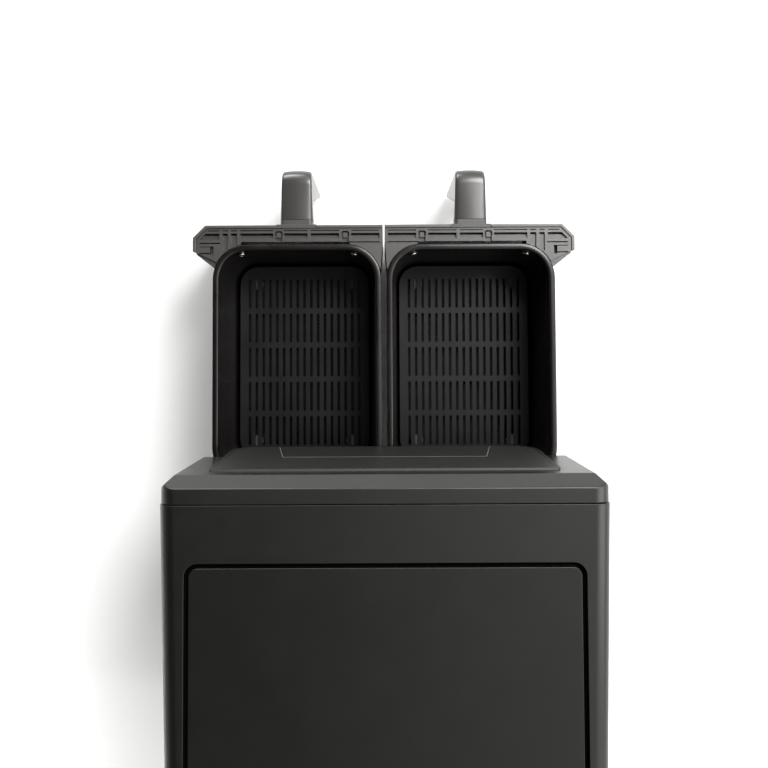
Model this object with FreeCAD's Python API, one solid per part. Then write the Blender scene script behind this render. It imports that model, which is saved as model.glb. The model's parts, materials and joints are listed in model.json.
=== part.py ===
import FreeCAD, Part
import math
import os

V = FreeCAD.Vector
UP = V(0, 0, 1)

# Two-drawer air fryer, in millimetres, +Z up, front towards -Y, both drawers pulled out.
# Shapes are drawn about the centre of the housing's footprint, with the drawers closed.
# save() then pulls the drawers out and moves everything so that the origin lies on the
# table under the middle of the whole object.

# Driving dimensions
WIDTH = 412.0
DEPTH = 295.0
HEIGHT = 325.0
TRAVEL = 247.0            # how far the drawers are pulled out
HANDLE_REACH = 61.7       # handle in front of the drawer face
WALL = 3.0                # plastic wall
SHEET = 1.0               # metal sheet
FOOT = 8.0                # height of the rubber feet
SPLIT = 170.0             # underside of the upper front, above the drawers
RIM = 167.0               # top of the pans

# Housing
FRONT = -DEPTH / 2
BACK = DEPTH / 2
SEAM = FRONT + 28.0       # joint between front bezel and rear shell
SHELL_TAPER = 6.0         # how much each side of the shell narrows towards the back
SHELL_REAR_RADIUS = 22.0
SHELL_TOP_RADIUS = 15.0
BASE_TOP = FOOT + WALL
BEZEL_HALF = WIDTH / 2 - 1.0
BEZEL_CHAMFER = 13.3      # 45 degree cut of the vertical front corners
BEZEL_LEAN = 2.0          # how far the face leans back at the bevel
BEZEL_WINDOW = (120.0, 192.0, 262.0)      # half width, bottom and top
BEVEL_DEPTH = 13.0        # bevel between top and front
BEVEL_DROP = 17.0

# Cover plate in the top
COVER_HALF = 177.4
COVER_FRONT = SEAM + 56.2
COVER_BACK = BACK - 26.0
COVER_GROOVE = 4.2
COVER_SUNK = 6.5
COVER_RADIUS = 8.0

# Control panel
PANEL_TOP = 288.0
PANEL_BOTTOM = SPLIT + 1.5
PANEL_PROUD_TOP = 0.4
PANEL_PROUD_BOTTOM = 10.5
PANEL_HALF_TOP = 166.0
PANEL_HALF_BOTTOM = 158.5
PANEL_RADIUS = 26.0
PANEL_SKIN = 2.5
LENS_THICK = 1.2
LENS_MARGIN = 4.0
WINDOW_TOP = 230.0
WINDOW_HALF_TOP = 102.3
WINDOW_HALF_BOTTOM = 111.0

# Drawers
FACE_GAP = 1.0            # from the middle plane to a drawer front
FACE_HALF = 205.0         # outer side of a drawer front
FACE_BOTTOM = 14.0
FACE_TOP = 168.4
FACE_CHAMFER = 13.2
FACE_SKIN = 3.4
FACE_WING = 28.5          # depth of the side of a drawer front
WING_END = 47.0           # where the wing meets the pan
WING_END_X = 181.0

# Ribbed top of the drawer frame; depths are measured from the drawer's face
RIB_FRONT = 5.5
GROOVE_END = 6.5
SLOT_START = 8.9
SLOT_END = 10.9
SHELF_END = 13.6
LEDGE_END = 15.6
FRAME_DEPTH = 18.0
SLOT_DROP = 14.0          # below the frame's top
SHELF_DROP = 4.0
LEDGE_DROP = 1.4
RIB_SIDE = 198.0          # inner side of the frame's side wall
GROOVE_DROP = 5.0
LONG_POCKETS = ((4.6, 34.9), (47.8, 78.3), (81.8, 106.9), (118.7, 154.3))
CLIP_MIDDLES = (41.2, 112.6)
CLIP_HALF = 4.2
CLIP_DROP = 6.0
CLIP_BLOCK = 2.3          # half width of the block in a seat
GUSSET_END = 3.5          # from the middle plane, where the gusset meets the pan
BACK_START = 36.5         # ends of the frame's straight back
BACK_END = 153.4
CHANNELS = ((157.6, 164.0), (167.4, 173.1))
CORNER_POCKET = 176.6     # inner end of the pocket behind the cut corner

# Pans
PAN_INNER = 3.0           # from the middle plane to the pan's rim
PAN_WIDTH = 180.8
PAN_LENGTH = 254.0
PAN_FRONT = FRONT + 20.9
PAN_RADIUS = 37.0
PAN_LIP = 4.8
PAN_LIP_THICK = 2.0
PAN_DEPTH = 123.0
PAN_DRAFT = 6.4           # wall leans in by this much over its depth
PAN_SHEET = 1.8
PAN_FOOT_RADIUS = 12.0
PAN_X = PAN_INNER + PAN_WIDTH / 2
PAN_Y = PAN_FRONT + PAN_LENGTH / 2
PAN_FLOOR = RIM - PAN_DEPTH + PAN_SHEET
RIVET_TURN = 16.0         # how far round the pan's front corner a screw sits
RIVET_Z = 152.0
RIVET_RADIUS = 1.8

# Crisper plate
CRISPER_LIFT = 15.0
CRISPER_THICK = 2.0
CRISPER_GAP = 3.0
CRISPER_COLUMNS = 8       # columns of slots on each side of the middle one
CRISPER_PITCH = 8.0
CRISPER_SLOT = 3.2
CRISPER_SLOT_LENGTH = 34.0
CRISPER_ROW = 40.0

# Handles
HANDLE_X = 94.0
HANDLE_HALF_BASE = 17.5
HANDLE_HALF_END = 16.0
HANDLE_TOP = 163.0
HANDLE_ARM = 19.0
HANDLE_TIP = 10.0
HANDLE_TIP_RADIUS = 4.4
HANDLE_BEND = 12.0
COLLAR_HALF = 21.6        # seat of the handle, let into the drawer's face
COLLAR_PROUD = 0.5
COLLAR_BOTTOM = 140.0
NECK_DEPTH = 6.6

# Cooking chambers
CHAMBER_X = 95.0
CHAMBER_Y = 12.0
FRAME_SIDE = 201.5        # inner frame, out to the shell's walls
FRAME_PASS = 185.4        # and in to the way for the pans
CHAMBER_INNER = 1.3
CHAMBER_OUTER = 188.8
CHAMBER_FRONT = -93.8
CHAMBER_BACK = 132.0
CHAMBER_FLOOR = 36.2
CHAMBER_ROOF = 179.2
ROOF_HOLE = 78.0
DOME_RADIUS = 84.0
DOME_TOP = 238.0
RAIL_TOP = RIM - PAN_LIP_THICK - 0.5
RAIL_HEIGHT = 7.5

# Heating element
COIL_WIRE = 3.3
COIL_Z = 191.0
COIL_OUTER = 68.0
COIL_STEP = 6.5
COIL_HALF_TURNS = 5
COIL_LEAD = 46.0
COIL_CROSSING = 184.0     # height at which the inner end passes under the turns
COIL_SIDE = 74.0

# Fans and motors
SHAFT_RADIUS = 3.0
SHAFT_FIT = 0.06
SHAFT_BOTTOM = 203.0
SHAFT_TOP = 294.0
FAN_RADIUS = 58.0
FAN_BLADES = 12
COOLING_RADIUS = 42.0
COOLING_BLADES = 9
MOTOR_RADIUS = 33.0
MOTOR_BOTTOM = 246.0
MOTOR_TOP = 276.0

# Rear
REAR_HALF = 176.0
REAR_LOW = 16.0
REAR_HIGH = 306.0
REAR_VENTS = 11           # per row
REAR_VENT_PITCH = 6.6
CORD_X = -140.0
CORD_Z = 46.0

SHIFT = (HANDLE_REACH + TRAVEL) / 2


def box(x0, x1, y0, y1, z0, z1):
    return Part.makeBox(x1 - x0, y1 - y0, z1 - z0, V(x0, y0, z0))


def cylinder(radius, x, y, z0, z1):
    return Part.makeCylinder(radius, z1 - z0, V(x, y, z0), UP)


def rod_y(radius, x, z, y0, y1):
    return Part.makeCylinder(radius, y1 - y0, V(x, y0, z), V(0, 1, 0))


def solid_between(points, direction):
    wire = Part.makePolygon(points + [points[0]])
    return Part.Face(wire).extrude(direction)


def plan_prism(points, z0, z1):
    return solid_between([V(x, y, z0) for x, y in points], V(0, 0, z1 - z0))


def side_prism(points, x0, x1):
    return solid_between([V(x0, y, z) for y, z in points], V(x1 - x0, 0, 0))


def front_prism(points, y0, y1):
    return solid_between([V(x, y0, z) for x, z in points], V(0, y1 - y0, 0))


def both_sides(points):
    return points + [(-x, y) for x, y in reversed(points)]


def mirrored(shape):
    return shape.mirror(V(0, 0, 0), V(1, 0, 0))


def pair(shape):
    return Part.makeCompound([shape, mirrored(shape)])


def fillet_where(shape, radius, test):
    edges = [edge for edge in shape.Edges if test(edge.BoundBox)]
    return shape.makeFillet(radius, edges)


def upright(bounds):
    return bounds.ZLength > 1.0 and bounds.XLength < 0.01 and bounds.YLength < 0.01


def round_wire(cx, cy, width, length, radius, z):
    """A rounded rectangle lying flat at height z."""
    hx = width / 2 - radius
    hy = length / 2 - radius
    edges = []
    for turn in range(4):
        corner = V(hx if turn in (0, 3) else -hx, hy if turn in (0, 1) else -hy, 0)
        start = math.radians(90 * turn)
        points = []
        for part in (0, 0.5, 1):
            angle = start + part * math.pi / 2
            arc_point = V(radius * math.cos(angle), radius * math.sin(angle), 0)
            points.append(V(cx, cy, z) + corner + arc_point)
        if edges:
            edges.append(Part.LineSegment(last, points[0]).toShape())
        else:
            first = points[0]
        edges.append(Part.Arc(*points).toShape())
        last = points[2]
    edges.append(Part.LineSegment(last, first).toShape())
    return Part.Wire(edges)


def round_slab(cx, cy, width, length, radius, z0, z1):
    face = Part.Face(round_wire(cx, cy, width, length, radius, z0))
    return face.extrude(V(0, 0, z1 - z0))


def slot(cx, cy, width, length, z0, z1):
    """A long hole along Y with round ends."""
    return round_slab(cx, cy, width, length, width / 2 - 0.01, z0, z1)


def save(name, shape, out=0.0):
    moved = shape.copy()
    moved.translate(V(0, SHIFT - out, 0))
    moved.exportStep("parts/" + name + ".step")
    print(name, len(moved.Solids), moved.isValid(), round(moved.Volume / 1000, 1), "ml")


def save_sides(name, shape, out=0.0):
    save(name + "_right", shape, out)
    save(name + "_left", mirrored(shape), out)


# Housing -------------------------------------------------------------------------------

def shell_block(inset, z0, z1, front):
    """The housing's outer form, or its hollow when inset by the wall."""
    half_front = WIDTH / 2 - inset
    half_back = half_front - SHELL_TAPER
    back = BACK - inset
    block = plan_prism(both_sides([(half_front, front), (half_back, back)]), z0, z1)
    block = fillet_where(block, SHELL_REAR_RADIUS - inset,
                         lambda b: upright(b) and b.YMin > back - 1)
    return fillet_where(block, SHELL_TOP_RADIUS - inset,
                        lambda b: b.ZMin > z1 - 0.1 and b.YMax > front + 1)


def housing_shell():
    shell = shell_block(0, FOOT, HEIGHT, SEAM)
    shell = shell.cut(shell_block(WALL, FOOT - 1, HEIGHT - WALL, SEAM - 1))
    tray_half = COVER_HALF + COVER_GROOVE
    y0 = COVER_FRONT - COVER_GROOVE
    y1 = COVER_BACK + COVER_GROOVE
    middle = (y0 + y1) / 2
    floor = HEIGHT - COVER_SUNK
    tray = round_slab(0, middle, 2 * tray_half + 2 * WALL, y1 - y0 + 2 * WALL,
                      COVER_RADIUS + WALL, floor - WALL, HEIGHT - WALL)
    shell = shell.fuse(tray)
    shell = shell.cut(round_slab(0, middle, 2 * tray_half, y1 - y0,
                                 COVER_RADIUS + COVER_GROOVE, floor, HEIGHT + 1))
    rear_window = box(6 - REAR_HALF, REAR_HALF - 6, BACK - 10, BACK + 1, REAR_LOW + 6,
                      REAR_HIGH - 6)
    rear_window = fillet_where(rear_window, 10, lambda b: b.YLength > 5)
    shell = shell.cut(rear_window)
    drawer_room = box(-WIDTH, WIDTH, SEAM - 1, SEAM + 2, FOOT - 1, SPLIT)
    return shell.cut(drawer_room).removeSplitter()


def top_cover():
    plate = round_slab(0, (COVER_FRONT + COVER_BACK) / 2, 2 * COVER_HALF,
                       COVER_BACK - COVER_FRONT, COVER_RADIUS,
                       HEIGHT - COVER_SUNK, HEIGHT - 0.4)
    return fillet_where(plate, 0.8, lambda b: b.ZMin > HEIGHT - 1)


def bezel_block(inset):
    """The upper front: bevelled profile crossed with a plan that has cut corners."""
    back = SEAM - 0.6 + (1 if inset else 0)
    edge = inset * 0.4
    half = BEZEL_HALF - inset
    profile = side_prism([
        (back, SPLIT + inset), (FRONT + inset, SPLIT + inset),
        (FRONT + BEZEL_LEAN + inset, HEIGHT - BEVEL_DROP - edge),
        (FRONT + BEVEL_DEPTH + edge, HEIGHT - inset),
        (back, HEIGHT - inset)], -half, half)
    profile = fillet_where(profile, SHELL_TOP_RADIUS - inset,
                           lambda b: b.ZMin > HEIGHT - inset - 0.1 and b.XLength < 0.01)
    plan = plan_prism(both_sides([
        (half, back + 1), (half, FRONT + BEZEL_CHAMFER + edge),
        (half - BEZEL_CHAMFER + edge, FRONT + inset)]), SPLIT, HEIGHT)
    return profile.common(plan)


def front_bezel():
    bezel = bezel_block(0).cut(bezel_block(WALL))
    half, bottom, top = BEZEL_WINDOW
    return bezel.cut(box(-half, half, FRONT - 1, FRONT + WALL + 3, bottom, top))


def bezel_face(z):
    """Depth of the leaning bezel face at a height."""
    return FRONT + BEZEL_LEAN * (z - SPLIT) / (HEIGHT - BEVEL_DROP - SPLIT)


def panel_face(depth):
    """Profile of the panel's slanted face, a given depth behind it."""
    return [(FRONT - PANEL_PROUD_TOP + depth, PANEL_TOP - 1),
            (FRONT - PANEL_PROUD_BOTTOM + depth, PANEL_BOTTOM + 1)]


def panel_outline(inset, radius):
    """Front view of the panel: sides lean in, lower corners round."""
    block = front_prism([
        (PANEL_HALF_TOP - inset, PANEL_TOP - inset),
        (PANEL_HALF_BOTTOM - inset, PANEL_BOTTOM + inset),
        (inset - PANEL_HALF_BOTTOM, PANEL_BOTTOM + inset),
        (inset - PANEL_HALF_TOP, PANEL_TOP - inset)], FRONT - 20, FRONT + 5)
    block = fillet_where(block, radius,
                         lambda b: b.YLength > 20 and b.ZMax < PANEL_BOTTOM + inset + 0.1)
    return fillet_where(block, 3.0,
                        lambda b: b.YLength > 20 and b.ZMin > PANEL_TOP - inset - 0.1)


def lens_slab(inset, radius):
    top, bottom = panel_face(0)
    inner_top, inner_bottom = panel_face(LENS_THICK)
    slab = side_prism([top, bottom, inner_bottom, inner_top], -WIDTH, WIDTH)
    return slab.common(panel_outline(inset, radius))


def window_outline(gap):
    return front_prism(both_sides([
        (WINDOW_HALF_TOP - gap, WINDOW_TOP - gap),
        (WINDOW_HALF_BOTTOM - gap, PANEL_BOTTOM + LENS_MARGIN)]), FRONT - 20, FRONT + 5)


def control_panel():
    top, bottom = panel_face(0)
    block = side_prism([(bezel_face(PANEL_TOP), PANEL_TOP), top, bottom,
                        (bezel_face(PANEL_BOTTOM), PANEL_BOTTOM)], -WIDTH, WIDTH)
    panel = block.common(panel_outline(0, PANEL_RADIUS))
    top, bottom = panel_face(PANEL_SKIN + LENS_THICK)
    hollow = side_prism([(FRONT + 4, PANEL_TOP), top, bottom, (FRONT + 4, PANEL_BOTTOM)],
                        -WIDTH, WIDTH)
    panel = panel.cut(hollow.common(panel_outline(PANEL_SKIN, PANEL_RADIUS - PANEL_SKIN)))
    panel = panel.cut(lens_slab(LENS_MARGIN, PANEL_RADIUS - LENS_MARGIN))
    light_hole = box(-WINDOW_HALF_TOP + 6, WINDOW_HALF_TOP - 6, FRONT - 20, FRONT,
                     193, WINDOW_TOP - 4)
    return panel.cut(light_hole)


def control_lens():
    lens = lens_slab(LENS_MARGIN + 0.2, PANEL_RADIUS - LENS_MARGIN - 0.2)
    return lens.cut(window_outline(0))


def display_window():
    return lens_slab(LENS_MARGIN + 0.2, 2.0).common(window_outline(0.6))


def control_board():
    board = box(-134, 134, FRONT + 8, FRONT + 9.6, 194, 272)
    posts = [rod_y(4, side * 126, z, bezel_face(z + 4) + WALL, FRONT + 8)
             for side in (-1, 1) for z in (200, 266)]
    chips = [box(x, x + 16, FRONT + 9.6, FRONT + 13, 236, 252) for x in (-90, -20, 50)]
    socket = box(-12, 12, FRONT + 9.6, FRONT + 18, 206, 216)
    return board.multiFuse(posts + chips + [socket])


def display_modules():
    return pair(box(12, 74, FRONT - 3.5, FRONT + 7.9, 196, 219))


def cavity_frame():
    """Inner frame that the drawer fronts close against."""
    column = plan_prism([(FRAME_SIDE, -115.0), (FRAME_PASS, -101.0), (FRAME_PASS, -94),
                         (FRAME_SIDE, -94)], BASE_TOP, SPLIT + 1)
    bottom_rail = box(-FRAME_PASS - 1, FRAME_PASS + 1, -98.3, -94, BASE_TOP, CHAMBER_FLOOR)
    top_rail = box(-FRAME_SIDE, FRAME_SIDE, SEAM - 0.4, -94, SPLIT + 0.4,
                   SPLIT + WALL + 0.4)
    return column.multiFuse([mirrored(column), bottom_rail, top_rail])


def base_plate():
    plate = shell_block(WALL + 0.3, FOOT, FOOT + 40, -116)
    plate = plate.common(box(-WIDTH, WIDTH, FRONT, BACK, FOOT, BASE_TOP))
    slots = [slot(x, 20, 6, 60, 0, 20) for x in range(-120, 121, 20)]
    return plate.cut(Part.makeCompound(slots))


def rubber_feet():
    feet = [Part.makeCone(10, 12, FOOT, V(sx * 172, y, 0), UP)
            for sx in (-1, 1) for y in (-100, 118)]
    return Part.makeCompound([fillet_where(foot, 1.5, lambda b: b.ZMax < 0.1)
                              for foot in feet])


def rear_panel():
    flange = box(-REAR_HALF, REAR_HALF, BACK - 6, BACK - WALL - 0.1, REAR_LOW, REAR_HIGH)
    raised = box(7 - REAR_HALF, REAR_HALF - 7, BACK - 4, BACK - 1, REAR_LOW + 7, REAR_HIGH - 7)
    raised = fillet_where(raised, 9, lambda b: b.YLength > 2)
    panel = flange.fuse(raised)
    vents = []
    for side in (-1, 1):
        for index in range(REAR_VENTS):
            x = side * (CHAMBER_X + (index - REAR_VENTS // 2) * REAR_VENT_PITCH)
            vents.append(box(x - 1.6, x + 1.6, BACK - 10, BACK + 1, 199, 227))
            vents.append(box(x - 1.6, x + 1.6, BACK - 10, BACK + 1, 250, 284))
    vents.append(rod_y(9, CORD_X, CORD_Z, BACK - 10, BACK + 1))
    for x, z in rear_screw_places():
        vents.append(rod_y(1.6, x, z, BACK - 10, BACK + 1))
    return panel.cut(Part.makeCompound(vents))


def rear_screw_places():
    return [(side * 158, z) for side in (-1, 1) for z in (34, 160, 288)]


def cord_inlet():
    """Rubber bush that the supply cord would pass through."""
    bush = rod_y(8.9, CORD_X, CORD_Z, BACK - 9, BACK - 1)
    collar = rod_y(12.5, CORD_X, CORD_Z, BACK - 1, BACK - 0.1)
    nut = rod_y(12.5, CORD_X, CORD_Z, BACK - 9, BACK - 6)
    return bush.multiFuse([collar, nut]).cut(rod_y(4.2, CORD_X, CORD_Z, BACK - 10, BACK + 1))


def housing_screws():
    screws = []
    for x, z in rear_screw_places():
        head = rod_y(3.4, x, z, BACK - 1, BACK - 0.1)
        screws.append(head.fuse(rod_y(1.6, x, z, BACK - 12, BACK - 1)))
    for x in (-120, 0, 120):
        for y in (-80, 100):
            screws.append(cylinder(3.4, x, y, FOOT - 1.4, FOOT))
    return Part.makeCompound(screws)


# Cooking chambers ----------------------------------------------------------------------

def chamber():
    outer = box(CHAMBER_INNER, CHAMBER_OUTER, CHAMBER_FRONT, CHAMBER_BACK,
                CHAMBER_FLOOR, CHAMBER_ROOF)
    inner = box(CHAMBER_INNER + SHEET, CHAMBER_OUTER - SHEET, CHAMBER_FRONT - 1,
                CHAMBER_BACK - SHEET, CHAMBER_FLOOR + SHEET, CHAMBER_ROOF - SHEET)
    holes = [cylinder(ROOF_HOLE, CHAMBER_X, CHAMBER_Y, CHAMBER_ROOF - 5, CHAMBER_ROOF + 5),
             box(CHAMBER_X - 4, CHAMBER_X + 4, CHAMBER_BACK - 5, CHAMBER_BACK + 5, 150, 156)]
    return outer.cut(inner).cut(Part.makeCompound(holes))


def guide_rails():
    y0 = CHAMBER_FRONT + 2
    y1 = CHAMBER_BACK - 8
    inner = box(CHAMBER_INNER + SHEET, PAN_INNER + PAN_LIP - 1.4, y0, y1,
                RAIL_TOP - RAIL_HEIGHT, RAIL_TOP)
    outer = box(PAN_INNER + PAN_WIDTH - PAN_LIP + 1.6, CHAMBER_OUTER - SHEET, y0, y1,
                RAIL_TOP - RAIL_HEIGHT, RAIL_TOP)
    return Part.makeCompound([inner, outer])


def centre_insulation():
    return box(-1.2, 1.2, CHAMBER_FRONT, CHAMBER_BACK, CHAMBER_FLOOR, CHAMBER_ROOF)


def heater_dome():
    """Round metal hood that holds the heating element and the fan."""
    dome = cylinder(DOME_RADIUS, CHAMBER_X, CHAMBER_Y, CHAMBER_ROOF, DOME_TOP)
    dome = fillet_where(dome, 8, lambda b: b.ZMin > DOME_TOP - 0.1)
    hollow = cylinder(DOME_RADIUS - SHEET, CHAMBER_X, CHAMBER_Y, CHAMBER_ROOF - 1,
                      DOME_TOP - SHEET)
    hollow = fillet_where(hollow, 7, lambda b: b.ZMin > DOME_TOP - SHEET - 0.1)
    holes = [cylinder(8, CHAMBER_X, CHAMBER_Y, DOME_TOP - 5, DOME_TOP + 5),
             box(CHAMBER_X - 33, CHAMBER_X + 33, CHAMBER_Y + 60, BACK, 198, 228),
             sensor_tube()]
    for side in (-1, 1):
        holes.append(cylinder(COIL_WIRE + 0.2, CHAMBER_X + side * COIL_LEAD, CHAMBER_Y,
                              DOME_TOP - 5, DOME_TOP + 5))
    return dome.cut(hollow).cut(Part.makeCompound(holes))


def exhaust_duct():
    duct = box(CHAMBER_X - 35, CHAMBER_X + 35, CHAMBER_Y + 55, BACK - 6.2, 196, 230)
    hollow = box(CHAMBER_X - 34, CHAMBER_X + 34, CHAMBER_Y, BACK, 197, 229)
    body = cylinder(DOME_RADIUS + 0.1, CHAMBER_X, CHAMBER_Y, 190, 240)
    return duct.cut(hollow).cut(body)


def heater_coil():
    """Flat spiral made of half turns, with both ends rising outside the fan."""
    shapes = []
    centre = 0.0
    for turn in range(COIL_HALF_TURNS):
        radius = COIL_OUTER - COIL_STEP * turn
        ring = Part.makeTorus(radius, COIL_WIRE, V(0, 0, 0), UP, -180, 180, 180)
        ring.rotate(V(0, 0, 0), UP, 180 * turn)
        ring.translate(V(CHAMBER_X + centre, CHAMBER_Y, COIL_Z))
        shapes.append(ring)
        side = 1 if turn % 2 else -1
        end = centre + side * radius
        centre = end - side * (radius - COIL_STEP)
    high = DOME_TOP - 12
    shapes += bent_rod([(COIL_OUTER, COIL_Z), (COIL_OUTER, high), (COIL_LEAD, high),
                        (COIL_LEAD, DOME_TOP + 6)])
    shapes += bent_rod([(end, COIL_Z), (end, COIL_CROSSING), (-COIL_SIDE, COIL_CROSSING),
                        (-COIL_SIDE, high), (-COIL_LEAD, high), (-COIL_LEAD, DOME_TOP + 6)])
    return shapes[0].multiFuse(shapes[1:])


def bent_rod(places):
    """Straight lengths of heater tube, rounded at each corner, in the fan axis's plane."""
    points = [V(CHAMBER_X + x, CHAMBER_Y, z) for x, z in places]
    shapes = [Part.makeSphere(COIL_WIRE, point) for point in points[:-1]]
    for start, stop in zip(points, points[1:]):
        run = stop - start
        shapes.append(Part.makeCylinder(COIL_WIRE, run.Length, start, run))
    return shapes


def fan_guard():
    plate = cylinder(ROOF_HOLE + 4, CHAMBER_X, CHAMBER_Y, CHAMBER_ROOF - SHEET - 1.4,
                     CHAMBER_ROOF - SHEET)
    cuts = []
    for radius, length, count in ((26, 18, 14), (49, 18, 26), (69, 12, 38)):
        for index in range(count):
            angle = 360.0 * index / count
            hole = slot(CHAMBER_X, CHAMBER_Y + radius, 5.5, length, 170, 190)
            hole.rotate(V(CHAMBER_X, CHAMBER_Y, 0), UP, angle)
            cuts.append(hole)
    return plate.cut(Part.makeCompound(cuts))


def sensor_tube():
    return Part.makeCylinder(2.0, 46, V(CHAMBER_X + 40, CHAMBER_Y - 40, 205), V(1, 0, 0))


def temperature_sensor():
    side = math.sqrt(DOME_RADIUS ** 2 - 40 ** 2)
    flange = Part.makeCylinder(6, 4, V(CHAMBER_X + side + 3.4, CHAMBER_Y - 40, 205), V(1, 0, 0))
    return sensor_tube().fuse(flange)


def drawer_switch():
    case = box(CHAMBER_X - 10, CHAMBER_X + 10, CHAMBER_BACK, CHAMBER_BACK + 7, 146, 160)
    plunger = rod_y(1.5, CHAMBER_X, 153, CHAMBER_BACK - 3, CHAMBER_BACK)
    return case.fuse(plunger)


# Fans and motors -----------------------------------------------------------------------

def fan_shaft():
    return cylinder(SHAFT_RADIUS, CHAMBER_X, CHAMBER_Y, SHAFT_BOTTOM, SHAFT_TOP)


def bladed_wheel(radius, blades, z0, z1, lean, hub, plate_z):
    """A hub, a back plate and leaning blades about the chamber's fan axis."""
    shapes = [cylinder(hub, CHAMBER_X, CHAMBER_Y, z0, z1)]
    if plate_z:
        shapes.append(cylinder(radius, CHAMBER_X, CHAMBER_Y, plate_z, plate_z + SHEET))
    for index in range(blades):
        blade = Part.makeBox(1.2, radius - hub + 0.5, (z1 - z0) * 0.94,
                             V(-0.6, hub - 1, z0 + (z1 - z0) * 0.03))
        blade.rotate(V(0, radius / 2, (z0 + z1) / 2), V(0, 1, 0), lean)
        blade.rotate(V(0, 0, 0), UP, 360.0 * index / blades)
        blade.translate(V(CHAMBER_X, CHAMBER_Y, 0))
        shapes.append(blade)
    wheel = shapes[0].multiFuse(shapes[1:])
    return wheel.cut(cylinder(SHAFT_RADIUS, CHAMBER_X, CHAMBER_Y, 150, 310))


def convection_fan():
    return bladed_wheel(FAN_RADIUS, FAN_BLADES, 204, 218, 0, 11, 217)


def cooling_fan():
    return bladed_wheel(COOLING_RADIUS, COOLING_BLADES, 281, 292, 35, 12, 0)


def motor():
    body = cylinder(MOTOR_RADIUS, CHAMBER_X, CHAMBER_Y, MOTOR_BOTTOM, MOTOR_TOP)
    body = fillet_where(body, 3, lambda b: b.XLength > 1)
    stack = box(CHAMBER_X - 40, CHAMBER_X + 40, CHAMBER_Y - 22, CHAMBER_Y + 22, 254, 268)
    nose = cylinder(9, CHAMBER_X, CHAMBER_Y, MOTOR_TOP, MOTOR_TOP + 3)
    bore = cylinder(SHAFT_RADIUS + SHAFT_FIT, CHAMBER_X, CHAMBER_Y, 230, 310)
    return body.multiFuse([stack, nose]).cut(bore)


def motor_bracket():
    top = box(CHAMBER_X - 55, CHAMBER_X + 55, CHAMBER_Y - 14, CHAMBER_Y + 14, 244, MOTOR_BOTTOM)
    legs = [box(CHAMBER_X + x - 1, CHAMBER_X + x + 1, CHAMBER_Y - 14, CHAMBER_Y + 14,
                DOME_TOP, MOTOR_BOTTOM) for x in (-54, 54)]
    return top.multiFuse(legs).cut(cylinder(12, CHAMBER_X, CHAMBER_Y, 230, 260)).cut(
        pair_of_lead_holes())


def pair_of_lead_holes():
    return Part.makeCompound([cylinder(COIL_WIRE + 2, CHAMBER_X + side * COIL_LEAD, CHAMBER_Y,
                                       230, 260) for side in (-1, 1)])


def power_board():
    board = box(-42, 42, 30, 110, 262, 263.6)
    parts = [box(-34, -6, 44, 72, 263.6, 288), box(4, 20, 40, 56, 263.6, 280),
             box(24, 40, 40, 56, 263.6, 280), cylinder(8, -20, 92, 263.6, 286),
             cylinder(8, 2, 92, 263.6, 286), box(18, 40, 70, 104, 263.6, 276)]
    return board.multiFuse(parts)


def board_tray():
    tray = box(-46, 46, 26, 114, 256, 258)
    posts = [cylinder(3, x, y, 258, 262) for x in (-38, 38) for y in (34, 106)]
    legs = [box(x - 3, x + 3, 34, 44, DOME_TOP, 256) for x in (-42, 42)]
    return tray.multiFuse(posts + legs)


def loom_path():
    return [V(0, 28, 266), V(0, -30, 268), V(0, -75, 262), V(0, -108, 235), V(0, -122, 211)]


def wiring_loom():
    """Cable loom from the power board to the control board, with round bends."""
    points = loom_path()
    edges = []
    start = points[0]
    for index in range(1, len(points) - 1):
        corner = points[index]
        to_last = points[index - 1] - corner
        to_next = points[index + 1] - corner
        reach = 0.4 * min(to_last.Length, to_next.Length)
        before = corner + V(to_last).normalize() * reach
        after = corner + V(to_next).normalize() * reach
        half = to_last.getAngle(to_next) / 2
        radius = reach * math.tan(half)
        inward = (V(to_last).normalize() + V(to_next).normalize()).normalize()
        centre = corner + inward * (radius / math.sin(half))
        middle = centre - inward * radius
        edges.append(Part.LineSegment(start, before).toShape())
        edges.append(Part.Arc(before, middle, after).toShape())
        start = after
    edges.append(Part.LineSegment(start, points[-1]).toShape())
    profile = Part.Wire(Part.makeCircle(2.6, points[0], points[1] - points[0]))
    return Part.Wire(edges).makePipeShell([profile], True, False)


# Drawers -------------------------------------------------------------------------------

def pan_slab(grow, z0, z1):
    return round_slab(PAN_X, PAN_Y, PAN_WIDTH + 2 * grow, PAN_LENGTH + 2 * grow,
                      PAN_RADIUS + grow, z0, z1)


def pan_form(inset, bottom, top, foot):
    """Drafted tub with a rounded foot; inset is measured from the lip's edge."""
    wires = []
    for z in (bottom, top):
        lean = inset + PAN_DRAFT * (RIM - z) / PAN_DEPTH
        wires.append(round_wire(PAN_X, PAN_Y, PAN_WIDTH - 2 * lean, PAN_LENGTH - 2 * lean,
                                PAN_RADIUS - lean, z))
    form = Part.makeLoft(wires, True, True)
    return fillet_where(form, foot, lambda b: b.ZMax < bottom + 0.1)


def at_corners(straight):
    """Shapes drawn where the pan's front corners begin, turned a little round them."""
    reach = PAN_WIDTH / 2 - PAN_RADIUS
    turned = []
    for side in (-1, 1):
        shape = straight.copy()
        shape.translate(V(PAN_X + side * reach, 0, 0))
        centre = V(PAN_X + side * reach, PAN_FRONT + PAN_RADIUS, 0)
        shape.rotate(centre, UP, side * RIVET_TURN)
        turned.append(shape)
    return Part.makeCompound(turned)


def rivet_wall():
    """Inside of the pan's front wall at the height of its screws."""
    return PAN_FRONT + PAN_LIP + PAN_SHEET + PAN_DRAFT * (RIM - RIVET_Z) / PAN_DEPTH


def rivet_holes():
    return at_corners(rod_y(RIVET_RADIUS, 0, RIVET_Z, FRONT + 12, PAN_FRONT + 20))


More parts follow.
